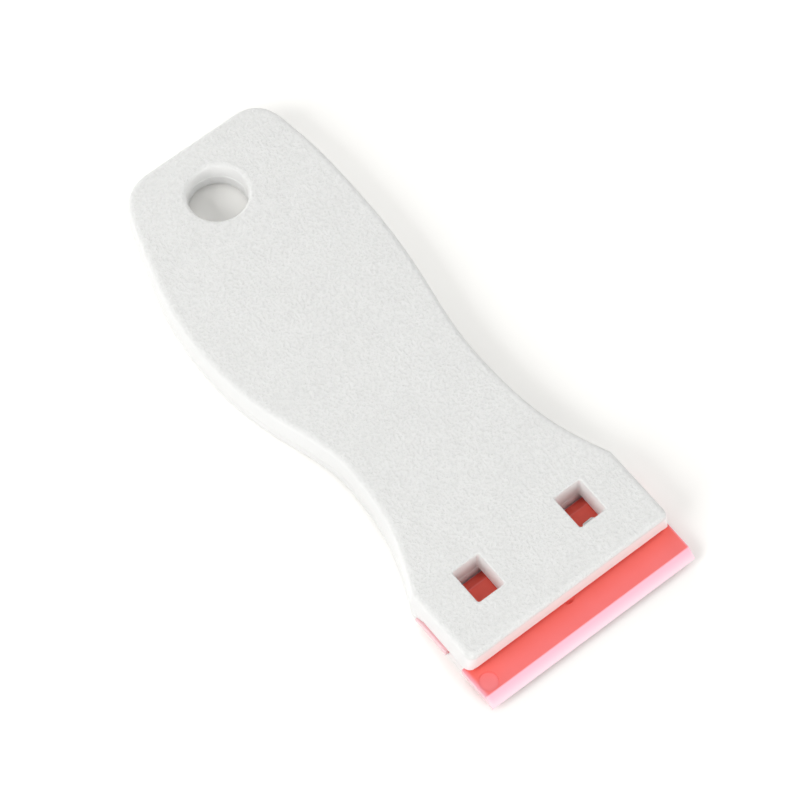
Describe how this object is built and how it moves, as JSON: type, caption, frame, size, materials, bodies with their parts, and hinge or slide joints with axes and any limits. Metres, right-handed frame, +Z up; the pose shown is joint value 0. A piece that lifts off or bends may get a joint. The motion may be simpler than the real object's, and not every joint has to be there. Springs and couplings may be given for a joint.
{
  "type": "plastic razor blade scraper",
  "caption": "Small flat hand scraper: a curved plastic handle in upper and lower shells, with a hang hole and windows, and a plastic blade that slides out of its front slot.",
  "frame": {"origin": "on the plane of the flat underside, midway between the front cutting edge and the tail edge", "axes": "+Y runs along the handle from the blade to the hang hole, +Z points up out of the windowed top face, +X is to the right seen from above with the blade towards the viewer"},
  "size_m": [0.04, 0.104, 0.008],
  "materials": {
    "handle_top": "pale grey moulded plastic with a fine pebbled top face and smooth walls",
    "handle_bottom": "pale grey moulded plastic, smooth walls and a finely pebbled underside",
    "blade": "red moulded plastic, semi gloss, slightly translucent at its bevelled edges"
  },
  "bodies": {
    "handle": {"handle_upper_shell": "handle_top", "handle_lower_shell": "handle_bottom"},
    "blade": {"scraper_blade": "blade"}
  },
  "joints": [
    {"name": "blade_slide", "type": "slide", "parent": "handle", "child": "blade", "axis": [0, -1, 0], "range_m": [0, 0.02]}
  ]
}
